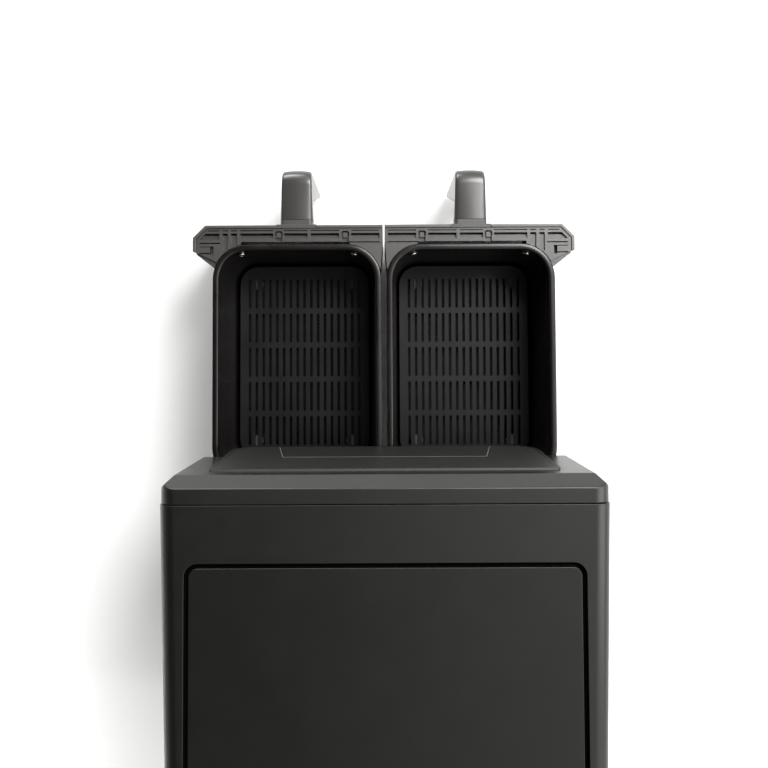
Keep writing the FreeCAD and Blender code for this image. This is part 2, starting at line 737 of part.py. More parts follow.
def pan():
    tub = pan_form(PAN_LIP, RIM - PAN_DEPTH, RIM, PAN_FOOT_RADIUS)
    tub = tub.fuse(pan_slab(0, RIM - PAN_LIP_THICK, RIM))
    tub = tub.cut(pan_form(PAN_LIP + PAN_SHEET, PAN_FLOOR, RIM + 1,
                           PAN_FOOT_RADIUS - PAN_SHEET))
    return tub.cut(rivet_holes())


def pan_rivets():
    """Screws through the pan's front wall into the drawer frame."""
    shank = rod_y(RIVET_RADIUS, 0, RIVET_Z, FRONT + 13, rivet_wall() + 1.0)
    head = Part.makeCone(4.6, 3.2, 1.8, V(0, rivet_wall() + 0.9, RIVET_Z), V(0, 1, 0))
    return at_corners(shank.fuse(head))


def crisper_plate():
    z0 = PAN_FLOOR + CRISPER_LIFT
    lean = PAN_LIP + PAN_SHEET + PAN_DRAFT * (RIM - z0) / PAN_DEPTH + CRISPER_GAP
    width = PAN_WIDTH - 2 * lean
    length = PAN_LENGTH - 2 * lean
    plate = round_slab(PAN_X, PAN_Y, width, length, PAN_RADIUS - lean, z0, z0 + CRISPER_THICK)
    skirt = round_slab(PAN_X, PAN_Y, width, length, PAN_RADIUS - lean, z0 - 5, z0)
    skirt = skirt.cut(round_slab(PAN_X, PAN_Y, width - 4, length - 4, PAN_RADIUS - lean - 2,
                                 z0 - 6, z0))
    slots = []
    for column in range(-CRISPER_COLUMNS, CRISPER_COLUMNS + 1):
        for row in range(-2, 3):
            y = PAN_Y + row * CRISPER_ROW
            slots.append(slot(PAN_X + column * CRISPER_PITCH, y, CRISPER_SLOT,
                              CRISPER_SLOT_LENGTH, z0 - 10, z0 + 10))
    return plate.fuse(skirt).cut(Part.makeCompound(slots))


def crisper_feet():
    """Silicone feet under the plate, standing on the pan's floor."""
    z1 = PAN_FLOOR + CRISPER_LIFT
    feet = []
    for sx in (-1, 1):
        for sy in (-1, 1):
            feet.append(Part.makeCone(5.0, 6.5, z1 - PAN_FLOOR,
                                      V(PAN_X + sx * 55, PAN_Y + sy * 92, PAN_FLOOR), UP))
    return Part.makeCompound(feet)


def face_plan(depth, gap):
    """Plan of the drawer front's outside, at a depth behind its surface."""
    cut = depth * (math.sqrt(2) - 1)
    return [(FACE_GAP + gap, FRONT + depth),
            (FACE_HALF - FACE_CHAMFER - cut, FRONT + depth),
            (FACE_HALF - depth, FRONT + FACE_CHAMFER + cut)]


def drawer_fascia():
    wing_back = FRONT + FACE_WING
    skin = plan_prism(face_plan(0, 0) + [(FACE_HALF, wing_back),
                                         (FACE_HALF - FACE_SKIN, wing_back)]
                      + face_plan(FACE_SKIN, 0)[::-1], FACE_BOTTOM, FACE_TOP)
    skin = fillet_where(skin, 1.2, lambda b: b.ZMin > FACE_TOP - 0.1 and b.YMin < FRONT + 14
                        and b.YMax < FRONT + FACE_SKIN + 13 and on_outside(b))
    return skin.cut(collar_block(0.3, FRONT - 1, FRONT + FACE_SKIN + 1))


def collar_block(gap, y0, y1):
    """The handle's seat in the drawer's face, or the hole for it when there is a gap."""
    return box(HANDLE_X - COLLAR_HALF - gap, HANDLE_X + COLLAR_HALF + gap, y0, y1,
               COLLAR_BOTTOM - gap, FACE_TOP + gap)


def on_outside(bounds):
    on_face = abs(bounds.YMax - FRONT) < 0.01
    on_side = abs(bounds.XMin - FACE_HALF) < 0.01
    on_cut = (abs(bounds.XMax - FACE_HALF) < 0.01 and abs(bounds.YMin - FRONT) < 0.01)
    return on_face or on_side or on_cut


def top_cut(x0, x1, depth0, depth1, drop):
    """A cut down from the frame's top, between two depths behind the face."""
    return box(x0, x1, FRONT + depth0, FRONT + depth1, RIM - drop, RIM + 1)


def ribbed(x0, x1):
    """Groove, rib and deep slot that run along the front of every pocket."""
    return [top_cut(x0, x1, RIB_FRONT, GROOVE_END, GROOVE_DROP),
            top_cut(x0, x1, SLOT_START, SLOT_END, SLOT_DROP)]


def long_pockets():
    cuts = []
    for x0, x1 in LONG_POCKETS:
        cuts += ribbed(x0, x1)
        cuts.append(top_cut(x0, x1, SLOT_END - 0.1, SHELF_END, SHELF_DROP))
        cuts.append(top_cut(x0, x1, SHELF_END - 0.1, LEDGE_END, LEDGE_DROP))
    return cuts


def clip_seats():
    """Round-ended seats between the pockets, open at the back."""
    cuts = []
    for x in CLIP_MIDDLES:
        middle = FRONT + (GROOVE_END + SHELF_END) / 2
        cuts.append(round_slab(x, middle, 2 * CLIP_HALF, SHELF_END - GROOVE_END, 2.6,
                               RIM - CLIP_DROP, RIM + 1))
        cuts.append(top_cut(x - CLIP_HALF + 0.5, x + CLIP_HALF - 0.5, SHELF_END - 0.1,
                            FRAME_DEPTH + 1, SHELF_DROP))
    return cuts


def clip_blocks():
    """Blocks that stand in the seats, clear of their walls."""
    start = GROOVE_END + 1.7
    return [round_slab(x, FRONT + (start + SHELF_END) / 2, 2 * CLIP_BLOCK,
                       SHELF_END - start, 1.2, RIM - CLIP_DROP - 0.5, RIM - 0.8)
            for x in CLIP_MIDDLES]


def corner_cuts():
    """Channels, slots and seats between the pockets and the cut corner."""
    cuts = []
    for x0, x1 in CHANNELS:
        cuts += ribbed(x0, x1)
        cuts.append(top_cut(x0, x1, SLOT_END - 0.1, FACE_WING, SHELF_DROP - 1))
    side_x, side_y = face_plan(RIB_FRONT, 0)[2]
    pocket = plan_prism([(CORNER_POCKET, FRONT), (side_x - 10.5, FRONT),
                         (side_x - 10.5, side_y - 9.0), (side_x - 1.5, side_y),
                         (CORNER_POCKET, side_y)], FACE_BOTTOM, RIM + 1)
    shelf = top_cut(CORNER_POCKET, RIB_SIDE, SLOT_END - 0.1, LEDGE_END, SHELF_DROP)
    for cut in ribbed(CORNER_POCKET, RIB_SIDE) + [shelf]:
        cuts.append(cut.common(pocket))
    cuts.append(top_cut(175.4, RIB_SIDE, 18.8, 20.1, 8))
    cuts.append(top_cut(182.7, 186.4, 22.8, 32.0, 8))
    cuts.append(top_cut(186.3, RIB_SIDE, 29.6, 31.0, 5))
    cuts.append(top_cut(186.3, RIB_SIDE, 22.8, 23.6, 3))
    return cuts


def frame_edges():
    """Lowered strip along the slanted edge, and the smooth gusset by the middle."""
    slanted = plan_prism([(FACE_HALF, FRONT + FACE_WING), (FACE_HALF, FRONT + WING_END + 2),
                          (WING_END_X - 2, FRONT + WING_END + 2),
                          (WING_END_X - 2, FRONT + WING_END - 7),
                          (RIB_SIDE - 1, FRONT + FACE_WING + 3)], RIM - 2.5, RIM + 1)
    gusset = top_cut(0, BACK_START, FRAME_DEPTH + 1, WING_END + 1, 0.8)
    gap = top_cut(LONG_POCKETS[0][0], BACK_START + 1, FRAME_DEPTH, FRAME_DEPTH + 1.05, 8)
    return [slanted, gusset, gap]


def frame_hollows():
    """Room from below, which leaves the frame's walls and the ribs."""
    cuts = []
    deep = RIM - SLOT_DROP - 2
    for x0, x1 in ((4, 66), (69, 117), (120, 176)):
        cuts.append(box(x0, x1, FRONT + 7.6, FRONT + LEDGE_END, FACE_BOTTOM - 1, deep))
    cuts.append(box(179, 196, FRONT + 17, FRONT + 24, FACE_BOTTOM - 1, deep))
    return cuts


def drawer_frame():
    """Ribbed moulding behind the fascia, hugging the pan's front corners."""
    side = FACE_HALF - FACE_SKIN - 0.3
    slope = (WING_END - FACE_WING) / (FACE_HALF - WING_END_X)
    wing_y = FRONT + FACE_WING + slope * (FACE_HALF - side)
    plan = [(FACE_GAP, FRONT + FACE_SKIN + 0.3)]
    plan += face_plan(FACE_SKIN + 0.3, 0)[1:]
    plan += [(side, wing_y), (WING_END_X, FRONT + WING_END), (PAN_X, FRONT + WING_END),
             (GUSSET_END, FRONT + WING_END), (FACE_GAP, FRONT + FRAME_DEPTH)]
    frame = plan_prism(plan, FACE_BOTTOM, RIM)
    frame = frame.cut(pan_slab(0.3, FACE_BOTTOM - 1, RIM + 1))
    back_wall = box(BACK_START, BACK_END, FRONT + FRAME_DEPTH, PAN_FRONT + 1,
                    FACE_BOTTOM - 1, RIM + 1)
    cuts = long_pockets() + clip_seats() + corner_cuts() + frame_edges() + frame_hollows()
    frame = frame.cut(back_wall).cut(cuts)
    boss = rod_y(6, 0, RIVET_Z - 0.5, FRONT + FRAME_DEPTH - 2, rivet_wall() - PAN_SHEET - 0.4)
    frame = frame.multiFuse(clip_blocks() + at_corners(boss).Solids)
    return frame.cut(rivet_holes()).cut(handle_holes())


def handle_screw_places():
    return [(HANDLE_X + side * 9, HANDLE_TOP - HANDLE_ARM / 2 - 6.2) for side in (-1, 1)]


def handle_holes():
    return Part.makeCompound([rod_y(2.0, x, z, FRONT - 10, FRONT + 18)
                              for x, z in handle_screw_places()])


def handle_collar():
    """Seat of the handle: a plate let into the drawer's face and a short neck."""
    plate = collar_block(0, FRONT - COLLAR_PROUD, FRONT + FACE_SKIN)
    plate = fillet_where(plate, 0.4, lambda b: b.YMax < FRONT - COLLAR_PROUD + 0.1)
    neck = box(HANDLE_X - HANDLE_HALF_BASE, HANDLE_X + HANDLE_HALF_BASE,
               FRONT - NECK_DEPTH + 0.5, FRONT - COLLAR_PROUD, HANDLE_TOP - HANDLE_ARM,
               HANDLE_TOP)
    neck = fillet_where(neck, 4, lambda b: b.YLength > 1)
    return plate.fuse(neck).cut(handle_holes())


def handle_profile():
    """Side view: arm, bend and a wedge that hangs free and thins to its tip."""
    out = FRONT - HANDLE_REACH
    neck = FRONT - NECK_DEPTH
    low = HANDLE_TOP - HANDLE_ARM
    bend = HANDLE_BEND * (1 - math.sqrt(0.5))
    line = Part.LineSegment
    a = V(0, neck, HANDLE_TOP)
    b = V(0, out + HANDLE_BEND, HANDLE_TOP)
    c = V(0, out, HANDLE_TOP - HANDLE_BEND)
    tip = V(0, out + 0.6 + HANDLE_TIP_RADIUS, HANDLE_TIP + HANDLE_TIP_RADIUS)
    g = V(0, out + 33.5, low - 7)
    lean = math.atan2(g.y - tip.y - HANDLE_TIP_RADIUS, g.z - tip.z)
    d = tip + V(0, -HANDLE_TIP_RADIUS, 0)
    e = tip + V(0, 0, -HANDLE_TIP_RADIUS)
    f = tip + V(0, math.cos(lean), -math.sin(lean)) * HANDLE_TIP_RADIUS
    h = V(0, out + 37.0, low - 1.4)
    i = V(0, out + 43.0, low)
    j = V(0, neck, low)
    edges = [line(a, b), Part.Arc(b, V(0, out + bend, HANDLE_TOP - bend), c),
             line(c, d), Part.Arc(d, e, f), line(f, g), Part.Arc(g, h, i), line(i, j),
             line(j, a)]
    return Part.Wire([edge.toShape() for edge in edges])


def handle():
    grip = Part.Face(handle_profile()).extrude(V(2 * WIDTH, 0, 0))
    grip.translate(V(HANDLE_X - WIDTH, 0, 0))
    taper = plan_prism([(HANDLE_X - HANDLE_HALF_BASE, FRONT),
                        (HANDLE_X + HANDLE_HALF_BASE, FRONT),
                        (HANDLE_X + HANDLE_HALF_END, FRONT - HANDLE_REACH - 1),
                        (HANDLE_X - HANDLE_HALF_END, FRONT - HANDLE_REACH - 1)], 0, 200)
    grip = grip.common(taper)
    grip = fillet_where(grip, 2.2, lambda b: b.YMax < FRONT - NECK_DEPTH + 0.1
                        and not (b.YLength < 0.1 and b.YMax > FRONT - NECK_DEPTH - 1)
                        and b.XLength < 4)
    bores = [rod_y(2.0, x, z, FRONT - 26, FRONT) for x, z in handle_screw_places()]
    return grip.cut(Part.makeCompound(bores))


def handle_screws():
    screws = []
    for x, z in handle_screw_places():
        shank = rod_y(2.0, x, z, FRONT - 25, FRONT + 7.6)
        screws.append(shank.fuse(rod_y(3.2, x, z, FRONT + 7.6, FRONT + 10)))
    return Part.makeCompound(screws)


# Export --------------------------------------------------------------------------------

def main():
    os.makedirs("parts", exist_ok=True)
    save("housing_shell", housing_shell())
    save("top_cover", top_cover())
    save("front_bezel", front_bezel())
    save("control_panel", control_panel())
    save("control_lens", control_lens())
    save("display_window", display_window())
    save("control_board", control_board())
    save("display_modules", display_modules())
    save("cavity_frame", cavity_frame())
    save("base_plate", base_plate())
    save("rubber_feet", rubber_feet())
    save("rear_panel", rear_panel())
    save("cord_inlet", cord_inlet())
    save("housing_screws", housing_screws())
    save("centre_insulation", centre_insulation())
    save("power_board", power_board())
    save("board_tray", board_tray())
    save("wiring_loom", wiring_loom())
    for name, shape in (("guide_rails", guide_rails()), ("exhaust_ducts", exhaust_duct()),
                        ("motor_brackets", motor_bracket()),
                        ("temperature_sensors", temperature_sensor()),
                        ("drawer_switches", drawer_switch()), ("fan_guards", fan_guard())):
        save(name, pair(shape))
    for name, shape in (("chamber", chamber()), ("heater_dome", heater_dome()),
                        ("heater_coil", heater_coil()), ("motor", motor()),
                        ("fan_shaft", fan_shaft()), ("convection_fan", convection_fan()),
                        ("cooling_fan", cooling_fan())):
        save_sides(name, shape)
    for name, shape in (("pan", pan()), ("pan_screws", pan_rivets()),
                        ("crisper_plate", crisper_plate()), ("crisper_feet", crisper_feet()),
                        ("drawer_fascia", drawer_fascia()), ("drawer_frame", drawer_frame()),
                        ("handle_collar", handle_collar()), ("handle", handle()),
                        ("handle_screws", handle_screws())):
        save_sides(name, shape, TRAVEL)


main()
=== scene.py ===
import json
import math

import bmesh
import bpy
from mathutils import Matrix, Vector


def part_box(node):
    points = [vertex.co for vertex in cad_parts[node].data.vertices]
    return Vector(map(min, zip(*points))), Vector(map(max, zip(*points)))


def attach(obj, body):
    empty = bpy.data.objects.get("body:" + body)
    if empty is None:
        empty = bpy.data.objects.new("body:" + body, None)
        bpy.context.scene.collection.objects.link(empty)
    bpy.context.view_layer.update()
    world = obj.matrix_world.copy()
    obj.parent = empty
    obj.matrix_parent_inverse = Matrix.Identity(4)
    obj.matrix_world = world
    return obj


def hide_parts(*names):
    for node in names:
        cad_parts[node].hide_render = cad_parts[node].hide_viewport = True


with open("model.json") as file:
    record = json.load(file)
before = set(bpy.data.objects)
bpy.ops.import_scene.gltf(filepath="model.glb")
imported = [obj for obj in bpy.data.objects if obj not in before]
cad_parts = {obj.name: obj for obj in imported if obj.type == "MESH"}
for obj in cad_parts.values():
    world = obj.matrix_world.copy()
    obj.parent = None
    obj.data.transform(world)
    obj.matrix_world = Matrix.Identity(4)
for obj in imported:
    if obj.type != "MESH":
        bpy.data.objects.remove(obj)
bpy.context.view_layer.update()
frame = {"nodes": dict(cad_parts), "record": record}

MM = 0.001
NODES = frame["nodes"]
SIDES = (("right", 1), ("left", -1))
SLOT_OF = {entry["node"]: entry["material_slot"] for entry in frame["record"]["subparts"]}
BODY_OF = {node: body for body, nodes in frame["record"]["behaviour"]["bodies"].items()
           for node in nodes}


# Places read from the frame ------------------------------------------------------------

def low(node):
    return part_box(node)[0]


def high(node):
    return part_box(node)[1]


BEZEL_FACE_Y = low("front_bezel").y
PAN_LOW, PAN_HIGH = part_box("pan_right")


# Materials -----------------------------------------------------------------------------

class Shader:
    """A material with a Principled shader, and short calls for adding nodes to it."""

    def __init__(self, name, colour, roughness, **settings):
        self.material = bpy.data.materials.new(name)
        self.material.use_nodes = True
        self.nodes = self.material.node_tree.nodes
        self.links = self.material.node_tree.links
        self.main = self.nodes["Principled BSDF"]
        self.main.inputs["Base Color"].default_value = (*colour, 1)
        self.main.inputs["Roughness"].default_value = roughness
        for socket, value in settings.items():
            self.main.inputs[socket.replace("_", " ")].default_value = value
        self.place = self.add("ShaderNodeTexCoord").outputs["Object"]
        self.material.diffuse_color = (*colour, 1)

    def add(self, kind, **inputs):
        node = self.nodes.new(kind)
        for name, value in inputs.items():
            self.feed(node.inputs[name.replace("_", " ")], value)
        return node

    def feed(self, socket, value):
        if isinstance(value, bpy.types.NodeSocket):
            self.links.new(value, socket)
        else:
            socket.default_value = value

    def noise(self, size, detail=3.0, stretch=(1, 1, 1), rough=0.55):
        """Noise whose features are about size metres across."""
        mapping = self.add("ShaderNodeMapping", Vector=self.place, Scale=stretch)
        node = self.add("ShaderNodeTexNoise", Vector=mapping.outputs[0], Scale=1 / size,
                        Detail=detail, Roughness=rough)
        return node.outputs["Fac"]

    def cells(self, size, feature="F1", output="Distance"):
        node = self.add("ShaderNodeTexVoronoi", Vector=self.place, Scale=1 / size)
        node.feature = feature
        return node.outputs[output]

    def spread(self, value, low_value, high_value, start=0.3, stop=0.7):
        """The value, from start to stop, mapped onto low_value to high_value."""
        node = self.add("ShaderNodeMapRange", Value=value, From_Min=start, From_Max=stop,
                        To_Min=low_value, To_Max=high_value)
        return node.outputs[0]

    def blend(self, factor, first, second):
        node = self.nodes.new("ShaderNodeMix")
        node.data_type = "RGBA"
        self.feed(node.inputs["Factor"], factor)
        for socket, value in ((node.inputs[6], first), (node.inputs[7], second)):
            self.feed(socket, (*value, 1) if isinstance(value, tuple) else value)
        return node.outputs[2]

    def colour(self, value):
        self.feed(self.main.inputs["Base Color"], value)
        return self

    def rough(self, value):
        self.feed(self.main.inputs["Roughness"], value)
        return self

    def bump(self, heights, distance):
        """Stacks bumps: each entry is (height socket, strength)."""
        normal = None
        for height, strength in heights:
            node = self.add("ShaderNodeBump", Height=height, Strength=strength,
                            Distance=distance)
            if normal:
                self.links.new(normal, node.inputs["Normal"])
            normal = node.outputs[0]
        self.links.new(normal, self.main.inputs["Normal"])
        return self


def scaled(colour, factor):
    return tuple(min(1.0, part * factor) for part in colour)


def plastic(name, colour, roughness, grain=0.45 * MM, relief=0.3, mottle=0.14, wear=0.05,
            **settings):
    """Moulded plastic: fine spark-eroded grain, faint flow marks and handling shine."""
    shader = Shader(name, colour, roughness, **settings)
    tone = shader.spread(shader.noise(35 * MM, 4), 0, 1)
    shader.colour(shader.blend(tone, scaled(colour, 1 - mottle), scaled(colour, 1 + mottle)))
    shine = shader.noise(60 * MM, 5, rough=0.65)
    shader.rough(shader.spread(shine, roughness - wear, roughness + wear))
    grains = shader.cells(grain)
    waves = shader.noise(9 * MM, 2)
    return shader.bump([(waves, 0.03), (grains, relief)], 0.05 * MM).material


def sheet_metal(name, colour, roughness, along=(1, 1, 0.04), scratch=0.25, tint=None):
    """Rolled sheet: fine lines along one direction and a blotchy film."""
    shader = Shader(name, colour, roughness, Metallic=1.0)
    lines = shader.noise(0.5 * MM, 2, along)
    film = shader.noise(28 * MM, 4)
    shader.colour(shader.blend(shader.spread(film, 0, 1), scaled(colour, 0.8),
                               tint or scaled(colour, 1.15)))
    shader.rough(shader.spread(lines, roughness - 0.08, roughness + 0.1))
    return shader.bump([(lines, scratch)], 0.02 * MM).material


def coating(name, colour, roughness, coat):
    """Sprayed non-stick coating: orange peel, tiny flecks and a glossy skin."""
    shader = Shader(name, colour, roughness, Specular_IOR_Level=0.28, Coat_Weight=coat,
                    Coat_Roughness=0.14)
    flecks = shader.spread(shader.cells(0.9 * MM), 1, 0, 0.02, 0.11)
    patches = shader.noise(40 * MM, 4)
    base = shader.blend(shader.spread(patches, 0, 1), scaled(colour, 0.75),
                        scaled(colour, 1.3))
    shader.colour(shader.blend(flecks, base, scaled(colour, 4.5)))
    shader.rough(shader.spread(patches, roughness - 0.05, roughness + 0.08))
    peel = shader.noise(1.1 * MM, 2)
    return shader.bump([(peel, 0.22), (flecks, 0.1)], 0.05 * MM).material


def rubber(name, colour, roughness=0.75, shine=0.35):
    shader = Shader(name, colour, roughness, Specular_IOR_Level=shine)
    dust = shader.noise(6 * MM, 5)
    shader.colour(shader.blend(shader.spread(dust, 0, 1), scaled(colour, 0.85),
                               scaled(colour, 1.5)))
    return shader.bump([(shader.noise(0.35 * MM, 2), 0.35)], 0.06 * MM).material


def gloss(name, colour, roughness, depth=0.02):
    """Satin acrylic, with faint smears in its shine."""
    shader = Shader(name, colour, roughness)
    smear = shader.noise(22 * MM, 6, (1, 1, 2.2), 0.7)
    shader.rough(shader.spread(smear, roughness - 0.03, roughness + 0.05, 0.4, 0.75))
    shader.colour(shader.blend(shader.spread(shader.noise(70 * MM), 0, 1),
                               scaled(colour, 0.9), scaled(colour, 1.15)))
    return shader.bump([(shader.noise(30 * MM, 1), depth)], 0.1 * MM).material


def circuit_board(name):
    """Green lacquer over copper tracks, with bare pads."""
    shader = Shader(name, (0.02, 0.11, 0.05), 0.35)
    tracks = shader.cells(5 * MM, "DISTANCE_TO_EDGE")
    copper = shader.spread(tracks, 1, 0, 0.04, 0.07)
    pads = shader.spread(shader.cells(3.3 * MM), 1, 0, 0.10, 0.14)
    lacquer = shader.blend(copper, (0.015, 0.09, 0.04), (0.05, 0.2, 0.08))
    shader.colour(shader.blend(pads, lacquer, (0.6, 0.55, 0.42)))
    return shader.bump([(copper, 0.4)], 0.06 * MM).material


def fibre_board(name):
    shader = Shader(name, (0.6, 0.57, 0.5), 0.9)
    fibres = shader.noise(1.2 * MM, 5, (1, 0.15, 1), 0.75)
    shader.colour(shader.blend(shader.spread(fibres, 0, 1), (0.45, 0.42, 0.35),
                               (0.72, 0.7, 0.63)))
    return shader.bump([(fibres, 0.8)], 0.2 * MM).material


def braid(name):
    shader = Shader(name, (0.03, 0.03, 0.032), 0.7)
    heights = []
    for turn in (40, -40):
        mapping = shader.add("ShaderNodeMapping", Vector=shader.place)
        mapping.inputs["Rotation"].default_value = (math.radians(turn), 0, 0)
        wave = shader.add("ShaderNodeTexWave", Vector=mapping.outputs[0], Scale=260.0)
        heights.append((wave.outputs["Fac"], 0.4))
    return shader.bump(heights, 0.2 * MM).material


CHARCOAL = (0.0056, 0.0057, 0.0046)

MATERIALS = {
    "shell_plastic": plastic("shell_plastic", CHARCOAL, 0.33, wear=0.02,
                             Specular_IOR_Level=0.46),
    "cover_plastic": plastic("cover_plastic", scaled(CHARCOAL, 0.8), 0.35, wear=0.02,
                             Specular_IOR_Level=0.38),
    "bezel_plastic": plastic("bezel_plastic", (0.0070, 0.0071, 0.0060), 0.33, wear=0.02,
                             Specular_IOR_Level=0.5),
    "panel_plastic": plastic("panel_plastic", (0.0095, 0.0097, 0.0083), 0.45, relief=0.12,
                             Specular_IOR_Level=0.4),
    "panel_lens": gloss("panel_lens", (0.0095, 0.0097, 0.0083), 0.50),
    "display_lens": gloss("display_lens", (0.0088, 0.0090, 0.0078), 0.48),
    "circuit_board": circuit_board("circuit_board"),
    "display_block": plastic("display_block", (0.02, 0.02, 0.022), 0.5),
    "inner_frame_plastic": plastic("inner_frame_plastic", (0.012, 0.012, 0.012), 0.5),
    "base_plastic": plastic("base_plastic", (0.012, 0.012, 0.012), 0.55),
    "foot_rubber": rubber("foot_rubber", (0.018, 0.018, 0.018)),
    "rear_plastic": plastic("rear_plastic", (0.0095, 0.0095, 0.0098), 0.5, relief=0.4),
    "inlet_rubber": rubber("inlet_rubber", (0.014, 0.014, 0.014), 0.65),
    "screw_steel": sheet_metal("screw_steel", (0.16, 0.16, 0.165), 0.35),
    "insulation_board": fibre_board("insulation_board"),
    "wire_sleeve": braid("wire_sleeve"),
    "chamber_steel": sheet_metal("chamber_steel", (0.42, 0.42, 0.41), 0.38, (1, 0.04, 1)),
    "switch_plastic": plastic("switch_plastic", (0.05, 0.05, 0.05), 0.45),
    "guard_steel": sheet_metal("guard_steel", (0.45, 0.45, 0.44), 0.32, (1, 0.05, 1)),
    "dome_steel": sheet_metal("dome_steel", (0.5, 0.5, 0.49), 0.36, (1, 1, 0.05)),
    "heating_element": sheet_metal("heating_element", (0.14, 0.125, 0.11), 0.48,
                                   (1, 1, 1), 0.5, (0.17, 0.13, 0.10)),
    "motor_steel": sheet_metal("motor_steel", (0.38, 0.38, 0.38), 0.35),
    "shaft_steel": sheet_metal("shaft_steel", (0.58, 0.58, 0.58), 0.22, (1, 1, 6)),
    "fan_aluminium": sheet_metal("fan_aluminium", (0.62, 0.62, 0.62), 0.34, (1, 0.1, 1)),
    "fan_plastic": plastic("fan_plastic", (0.05, 0.05, 0.05), 0.45),
    "pan_coating": coating("pan_coating", (0.0040, 0.0026, 0.0027), 0.30, 0.25),
    "pan_screw_steel": sheet_metal("pan_screw_steel", (0.50, 0.48, 0.46), 0.26),
    "crisper_coating": coating("crisper_coating", (0.0036, 0.0030, 0.0031), 0.42, 0.0),
    "silicone": rubber("silicone", (0.028, 0.028, 0.03), 0.5),
    "fascia_plastic": plastic("fascia_plastic", (0.050, 0.041, 0.036), 0.34, mottle=0.08,
                              wear=0.02, Specular_IOR_Level=0.85),
    "frame_plastic": plastic("frame_plastic", (0.036, 0.034, 0.032), 0.33, mottle=0.08,
                             wear=0.02, Specular_IOR_Level=0.8),
    "collar_plastic": plastic("collar_plastic", (0.050, 0.048, 0.046), 0.34),
    "handle_plastic": plastic("handle_plastic", (0.034, 0.032, 0.030), 0.26, relief=0.10,
                              mottle=0.05, wear=0.015, Specular_IOR_Level=0.62),
    # Near-black, matt and almost without shine: painted shade for the groove round the cover
    # plate.
    "groove_painted_shade": rubber("groove_painted_shade", (0.0012, 0.0012, 0.0012), 0.95, 0.03),
    # Light grey: painted highlight, the bead round the display window.
    "window_painted_highlight": plastic("window_painted_highlight", (0.16, 0.16, 0.155), 0.35, relief=0.1),
}


# Mesh helpers --------------------------------------------------------------------------

def bare(side_node):
    """A node's name without its side."""
    for side, _ in SIDES:
        if side_node.endswith("_" + side):
            return side_node[:-len(side) - 1]
    return side_node


def settle(mesh_builder, name, material, body, sharp=32, weighted=False):
    """Turns a bmesh into a piece that rides on a body."""
    for face in mesh_builder.faces:
        face.smooth = True
    for edge in mesh_builder.edges:
        flat = len(edge.link_faces) != 2
        edge.smooth = not flat and edge.calc_face_angle(0) < math.radians(sharp)
    mesh = bpy.data.meshes.new(name)
    mesh_builder.to_mesh(mesh)
    mesh_builder.free()
    mesh.materials.append(material)
    piece = bpy.data.objects.new(name, mesh)
    bpy.context.scene.collection.objects.link(piece)
    if weighted:
        modifier = piece.modifiers.new("even_shading", "WEIGHTED_NORMAL")
        modifier.keep_sharp = True
    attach(piece, body)
    return piece


CRISP_ANGLE = 28          # degrees; sharper folds than this are rounded


def softened(node, width, segments=3, angle=CRISP_ANGLE):
    """A copy of a CAD node whose crisp edges are rounded, as a moulding's are."""
    work = bmesh.new()
    work.from_mesh(NODES[node].data)
    bmesh.ops.remove_doubles(work, verts=work.verts, dist=0.01 * MM)
    bmesh.ops.dissolve_limit(work, angle_limit=math.radians(0.6), verts=work.verts,
                             edges=work.edges)
    crisp = [edge for edge in work.edges
             if len(edge.link_faces) == 2 and edge.calc_face_angle(0) > math.radians(angle)]
    bmesh.ops.bevel(work, geom=crisp, offset=width, offset_type="OFFSET",
                    segments=segments, profile=0.5, affect="EDGES", clamp_overlap=True)
    piece = settle(work, node + "_moulded", MATERIALS[SLOT_OF[node]], BODY_OF[node],
                   weighted=True)
    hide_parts(node)
    return piece


def rounded_loop(cx, cy, width, length, radius, z, steps=10, sides=6):
    """Points of a rounded rectangle, the same number for every size."""
    points = []
    radius = max(radius, 0.2 * MM)
    hx, hy = width / 2 - radius, length / 2 - radius
    for turn in range(4):
        corner = (hx if turn in (0, 3) else -hx, hy if turn in (0, 1) else -hy)
        for step in range(steps + 1):
            angle = math.pi / 2 * (turn + step / steps)
            points.append(Vector((cx + corner[0] + radius * math.cos(angle),
                                  cy + corner[1] + radius * math.sin(angle), z)))
        start = points[-1]
        following = (turn + 1) % 4
        corner = (hx if following in (0, 3) else -hx, hy if following in (0, 1) else -hy)
        angle = math.pi / 2 * (turn + 1)
        stop = Vector((cx + corner[0] + radius * math.cos(angle),
                       cy + corner[1] + radius * math.sin(angle), z))
        for step in range(1, sides):
            points.append(start.lerp(stop, step / sides))
    return points


def loft(work, loops, cap_first=True, cap_last=True):
    """Skins closed loops of equal length, with a flat cap at each end unless told not to."""
    rings = [[work.verts.new(point) for point in loop] for loop in loops]
    count = len(rings[0])
    for lower, upper in zip(rings, rings[1:]):
        for index in range(count):
            after = (index + 1) % count
            work.faces.new((lower[index], lower[after], upper[after], upper[index]))
    if cap_first:
        work.faces.new(list(reversed(rings[0])))
    if cap_last:
        work.faces.new(rings[-1])
    return rings


# Pans ----------------------------------------------------------------------------------

PAN_RADIUS = 37 * MM
PAN_SHEET = 1.8 * MM
PAN_LIP = 4.8 * MM
PAN_DRAFT = 6.4 * MM
PAN_FOOT_RADIUS = 12 * MM
PAN_SCREW_TURN = 16               # degrees round the pan's front corner


